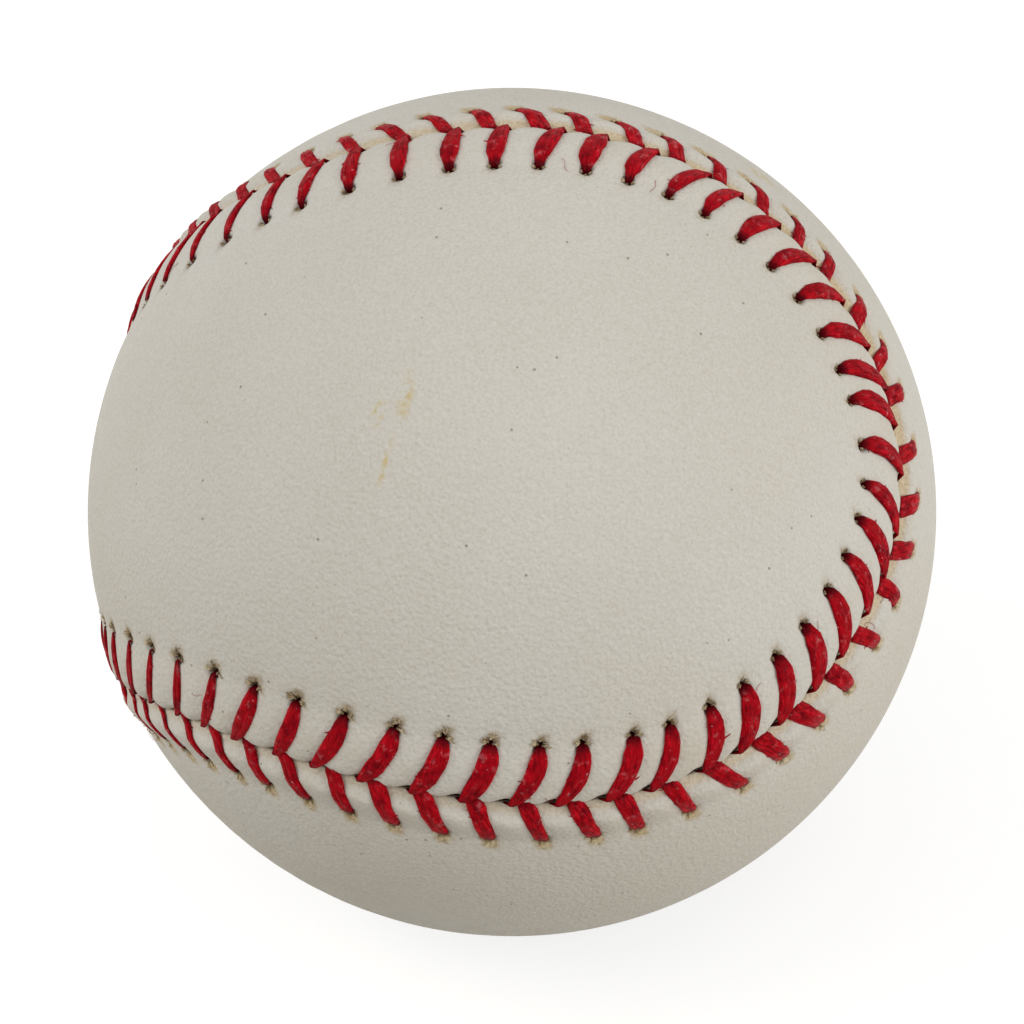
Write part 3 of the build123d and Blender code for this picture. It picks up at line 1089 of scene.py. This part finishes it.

# %% [markdown]
# ## Waxed thread and frayed fibres
# The thread is dyed crimson and waxed, so it is mottled dark and bright, with pale painted highlights and
# glints. The tree stored how far along and round each point is: a noise stretched along the thread gives its
# fibres, and the value for tucked ends paints shade on them where they go into the leather.

# %% Thread and fray finishes
def thread_finish(material):
    """Crimson fibres along the thread, dark patches, painted highlights and glints, and painted shade on
    tucked ends.
    """
    tree, shader, place = new_finish(material, 0.5, 0.04)
    way = sums(tree, "MULTIPLY", painted(tree, "thread_way"), 900.0)
    lay = sums(tree, "MULTIPLY", painted(tree, "thread_round"), 13.0)
    lay = sums(tree, "ADD", lay, sums(tree, "MULTIPLY", way, 0.7))
    fibre_place = add(tree, "ShaderNodeCombineXYZ", {"X": lay, "Y": way}).outputs["Vector"]
    fibres = noise(tree, fibre_place, 1.0, 4.0, 0.65)
    patches = noise(tree, place, 900.0, 4.0, 0.65)
    colour = ramp(tree, fibres, [(0.3, tone(88, 0, 6)), (0.5, tone(168, 4, 20)), (0.7, tone(212, 20, 38))])
    colour = lay_over(tree, colour, grown(tree, patches, 0.48, 0.66), 0.65, tone(84, 2, 16))
    # painted highlights: pale pink smears where the waxed thread would shine
    painted_highlights = grown(tree, noise(tree, place, 1500.0, 3.0, 0.6), 0.58, 0.74)
    colour = lay_over(tree, colour, painted_highlights, 0.5, tone(208, 118, 122))
    # painted glints: small near-white flecks
    painted_glints = grown(tree, noise(tree, place, 3000.0, 2.0, 0.5), 0.72, 0.82)
    colour = lay_over(tree, colour, painted_glints, 0.75, tone(238, 212, 208))
    # painted shade on the tucked ends, where the thread goes into the leather
    colour = lay_over(tree, colour, painted(tree, "thread_tuck"), 0.85, tone(36, 2, 8))
    tree.links.new(colour, shader.inputs["Base Color"])
    bumped(tree, shader, sums(tree, "ADD", fibres, patches), 0.6, 0.2 * mm)
    gloss = ramp(tree, patches, [(0.3, (0.36, 0.36, 0.36, 1)), (0.7, (0.6, 0.6, 0.6, 1))])
    tree.links.new(gloss, shader.inputs["Roughness"])


def fray_finish(material, root, dark, light):
    """Mottled fibres that are darker at their roots."""
    tree, shader, place = new_finish(material, 0.85, 0.15)
    mottle = ramp(tree, noise(tree, place, 1700.0, 3.0, 0.6), [(0.38, dark), (0.6, light)])
    colour = blend(tree, grown(tree, painted(tree, "spike_way"), 0.0, 0.6), root, mottle)
    tree.links.new(colour, shader.inputs["Base Color"])


thread_finish(crimson_thread)
fray_finish(grey_fray, tone(106, 84, 58), tone(146, 124, 94), tone(218, 203, 172))
fray_finish(tan_fray, tone(142, 120, 82), tone(172, 150, 110), tone(218, 203, 170))
print("thread nodes:", len(crimson_thread.node_tree.nodes))

# %% [markdown]
# ## What lies inside
# Nobody sees the core of a whole ball, but the part can be taken apart, so each solid gets a finish of its
# own: pressed cork in granules, black and red rubber with a fine bloom, and wool wound in crossing strands.
# Two wave textures, turned to each other, stand for the strands.

# %% Core finishes
def cork_finish(material):
    """Granules of cork in three browns, with dark specks."""
    tree, shader, place = new_finish(material, 0.8, 0.2)
    granules = cells(tree, place, 620.0)
    shade = add(tree, "ShaderNodeSeparateColor", {"Color": granules.outputs["Color"]}).outputs["Green"]
    colour = ramp(tree, shade, [
        (0.1, tone(112, 74, 44)), (0.5, tone(168, 122, 78)), (0.9, tone(198, 156, 106))])
    specks = grown(tree, noise(tree, place, 2600.0, 3.0, 0.6), 0.6, 0.7)
    colour = lay_over(tree, colour, specks, 0.6, tone(70, 42, 26))
    tree.links.new(colour, shader.inputs["Base Color"])
    bumped(tree, shader, granules.outputs["Distance"], 0.4, 0.3 * mm)


def rubber_finish(material, dark, light):
    """Rubber with a faint bloom."""
    tree, shader, place = new_finish(material, 0.55, 0.4)
    bloom = noise(tree, place, 240.0, 5.0, 0.65)
    tree.links.new(ramp(tree, bloom, [(0.35, dark), (0.7, light)]), shader.inputs["Base Color"])
    bumped(tree, shader, noise(tree, place, 3200.0, 2.0), 0.15, 0.1 * mm)


def wound_finish(material, dark, light):
    """Strands of yarn that cross each other, with some fuzz."""
    tree, shader, place = new_finish(material, 0.9, 0.15)
    strands = None
    for turn in ((0.4, 0.9, 0.2), (1.7, 0.3, 1.1)):
        spun = add(tree, "ShaderNodeMapping", {"Vector": place}, {"Rotation": turn}).outputs["Vector"]
        wave = add(tree, "ShaderNodeTexWave", {"Vector": spun},
                   {"Scale": 210.0, "Distortion": 2.5, "Detail": 3.0})
        lines = wave.outputs["Fac"]
        strands = lines if strands is None else sums(tree, "MAXIMUM", strands, lines)
    fuzz = noise(tree, place, 1600.0, 4.0, 0.65)
    colour = ramp(tree, strands, [(0.2, dark), (0.9, light)])
    colour = blend(tree, 0.35, colour, ramp(tree, fuzz, [(0.3, dark), (0.7, light)]))
    tree.links.new(colour, shader.inputs["Base Color"])
    bumped(tree, shader, strands, 0.6, 0.4 * mm)


core_finishes = (
    (("cork_core",), "pressed cork", cork_finish, ()),
    (("black_rubber_cup_upper", "black_rubber_cup_lower"), "black rubber", rubber_finish,
     (tone(22, 22, 23), tone(52, 51, 50))),
    (("joint_washer", "red_rubber_skin"), "red rubber", rubber_finish,
     (tone(132, 34, 26), tone(172, 62, 48))),
    (("inner_grey_wool", "outer_grey_wool"), "grey wool", wound_finish,
     (tone(92, 92, 94), tone(158, 157, 154))),
    (("white_wool",), "white wool", wound_finish, (tone(176, 170, 156), tone(226, 222, 210))),
    (("finishing_yarn",), "finishing yarn", wound_finish, (tone(188, 176, 150), tone(230, 222, 202))))
for nodes, name, maker, colours in core_finishes:
    material = bpy.data.materials.new(name)
    maker(material, *colours)
    for node in nodes:
        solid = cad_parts[node]
        solid.data.materials.clear()
        solid.data.materials.append(material)
    print(name, "on", ", ".join(nodes))

# %% [markdown]
# ## The pieces on the body
# The ball has no joints, so everything rides on the one body.

# %% Pieces and the solids they stand for
for piece, node, slot in (
        (panel_one, "leather_panel_one", "leather"), (panel_two, "leather_panel_two", "leather"),
        (thread_one, "thread_strand_one", "red_thread"), (thread_two, "thread_strand_two", "red_thread"),
        (fray_one, None, "leather"), (fray_two, None, "leather"), (red_wisps, None, "red_thread"),
        (red_fibres, None, "red_thread")):
    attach(piece, "root")
    if node:
        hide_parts(node)
for pattern in (tuft, wisp):
    bpy.data.objects.remove(pattern)

# %% [markdown]
# ## Floor, light and camera
# The photograph shows the ball cut out on white. A pale floor just under the ball keeps its shadow, and
# Light Path makes the floor and the sky white only where they are seen, so they add no light to the ball.
# More light would do it too, but it would wash out the leather.

# %% Floor
def seen_directly(tree):
    """One for rays that come from the camera or from a mirror or glass, and nothing for light."""
    path = add(tree, "ShaderNodeLightPath").outputs
    mirrored = sums(tree, "MAXIMUM", path["Is Glossy Ray"], path["Is Transmission Ray"])
    return sums(tree, "MAXIMUM", path["Is Camera Ray"], mirrored)


floor_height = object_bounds()[0][2]
floor_reach = 3.0
corner_signs = ((-1, -1), (1, -1), (1, 1), (-1, 1))
floor_corners = [(x * floor_reach, y * floor_reach, floor_height) for x, y in corner_signs]
floor_mesh = bpy.data.meshes.new("floor")
floor_mesh.from_pydata(floor_corners, [], [(0, 1, 2, 3)])
floor = bpy.data.objects.new("floor", floor_mesh)
bpy.context.scene.collection.objects.link(floor)
pale_floor = bpy.data.materials.new("pale floor")
floor_tree, floor_shader, floor_place = new_finish(pale_floor, 0.9, 0.1)
floor_tone = ramp(floor_tree, noise(floor_tree, floor_place, 3.0), [
    (0.0, tone(180, 175, 167)), (1.0, tone(185, 180, 172))])
floor_tree.links.new(floor_tone, floor_shader.inputs["Base Color"])
glow = sums(floor_tree, "MULTIPLY", seen_directly(floor_tree), 0.72)
floor_shader.inputs["Emission Color"].default_value = (0.95, 0.975, 1, 1)
floor_tree.links.new(glow, floor_shader.inputs["Emission Strength"])
floor_mesh.materials.append(pale_floor)
print("floor at", round(floor_height / mm, 2), "mm")

# %% [markdown]
# A plain sky and two large soft lamps, one to the right and one to the left, give an even light that
# darkens towards the bottom of the ball. Each lamp has a turn round the ball in degrees, a climb and its
# power in watts.

# %% Light
lamp_distance = 0.9
lamp_size = 0.6
sky = bpy.data.worlds.new("plain sky")
bpy.context.scene.world = sky
sky.use_nodes = True
sky_tree = sky.node_tree
sky_light = sky_tree.nodes["Background"]
sky_light.inputs["Color"].default_value = (0.985, 0.995, 1.0, 1)
sky_light.inputs["Strength"].default_value = 0.575
sky_white = add(sky_tree, "ShaderNodeBackground", values={"Color": (1, 1, 1, 1), "Strength": 1.0})
sky_mix = add(sky_tree, "ShaderNodeMixShader",
              {0: seen_directly(sky_tree), 1: sky_light.outputs[0], 2: sky_white.outputs[0]})
sky_tree.links.new(sky_mix.outputs[0], sky_tree.nodes["World Output"].inputs["Surface"])
for name, turn, climb, energy in (("right_lamp", 72, 0.29, 3.95), ("left_lamp", -69, 0.88, 3.1)):
    lamp_data = bpy.data.lights.new(name, "AREA")
    lamp_data.energy = energy
    lamp_data.size = lamp_size
    lamp_data.color = (1.0, 0.99, 0.97)
    lamp = bpy.data.objects.new(name, lamp_data)
    bpy.context.scene.collection.objects.link(lamp)
    aim = Vector((math.sin(math.radians(turn)), -math.cos(math.radians(turn)), climb))
    lamp.location = aim.normalized() * lamp_distance
    lamp.rotation_euler = (-Vector(lamp.location)).to_track_quat("-Z", "Y").to_euler()
    print(name, energy, "W,", round(lamp.location.length, 2), "m from the ball")
bpy.context.scene.view_settings.view_transform = "Standard"

# %% [markdown]
# The camera stands where the photograph was taken from: a little to the right, well above, and slightly
# tilted. These angles were found by laying the formula of the seam over the photograph. With the right lens
# a ball looks the same size from near and far, but only one distance shows this much of its sides.

# %% Camera
azimuth = math.radians(11.1)
elevation = math.radians(35.0)
roll = math.radians(4.6)
distance = 5.192 * ball_radius
level = math.cos(elevation)
toward = Vector((math.sin(azimuth) * level, -math.cos(azimuth) * level, math.sin(elevation)))
camera_data = bpy.data.cameras.new("camera")
camera_data.lens = 76.0
camera_data.sensor_width = 36.0
camera_data.clip_start = 0.005
camera = bpy.data.objects.new("camera", camera_data)
bpy.context.scene.collection.objects.link(camera)
camera.location = toward * distance
looking = (-toward).to_track_quat("-Z", "Y").to_matrix()
camera.rotation_euler = (looking @ Matrix.Rotation(-roll, 3, "Z")).to_euler()
bpy.context.scene.camera = camera
print("camera", round(distance / mm, 1), "mm from the centre")
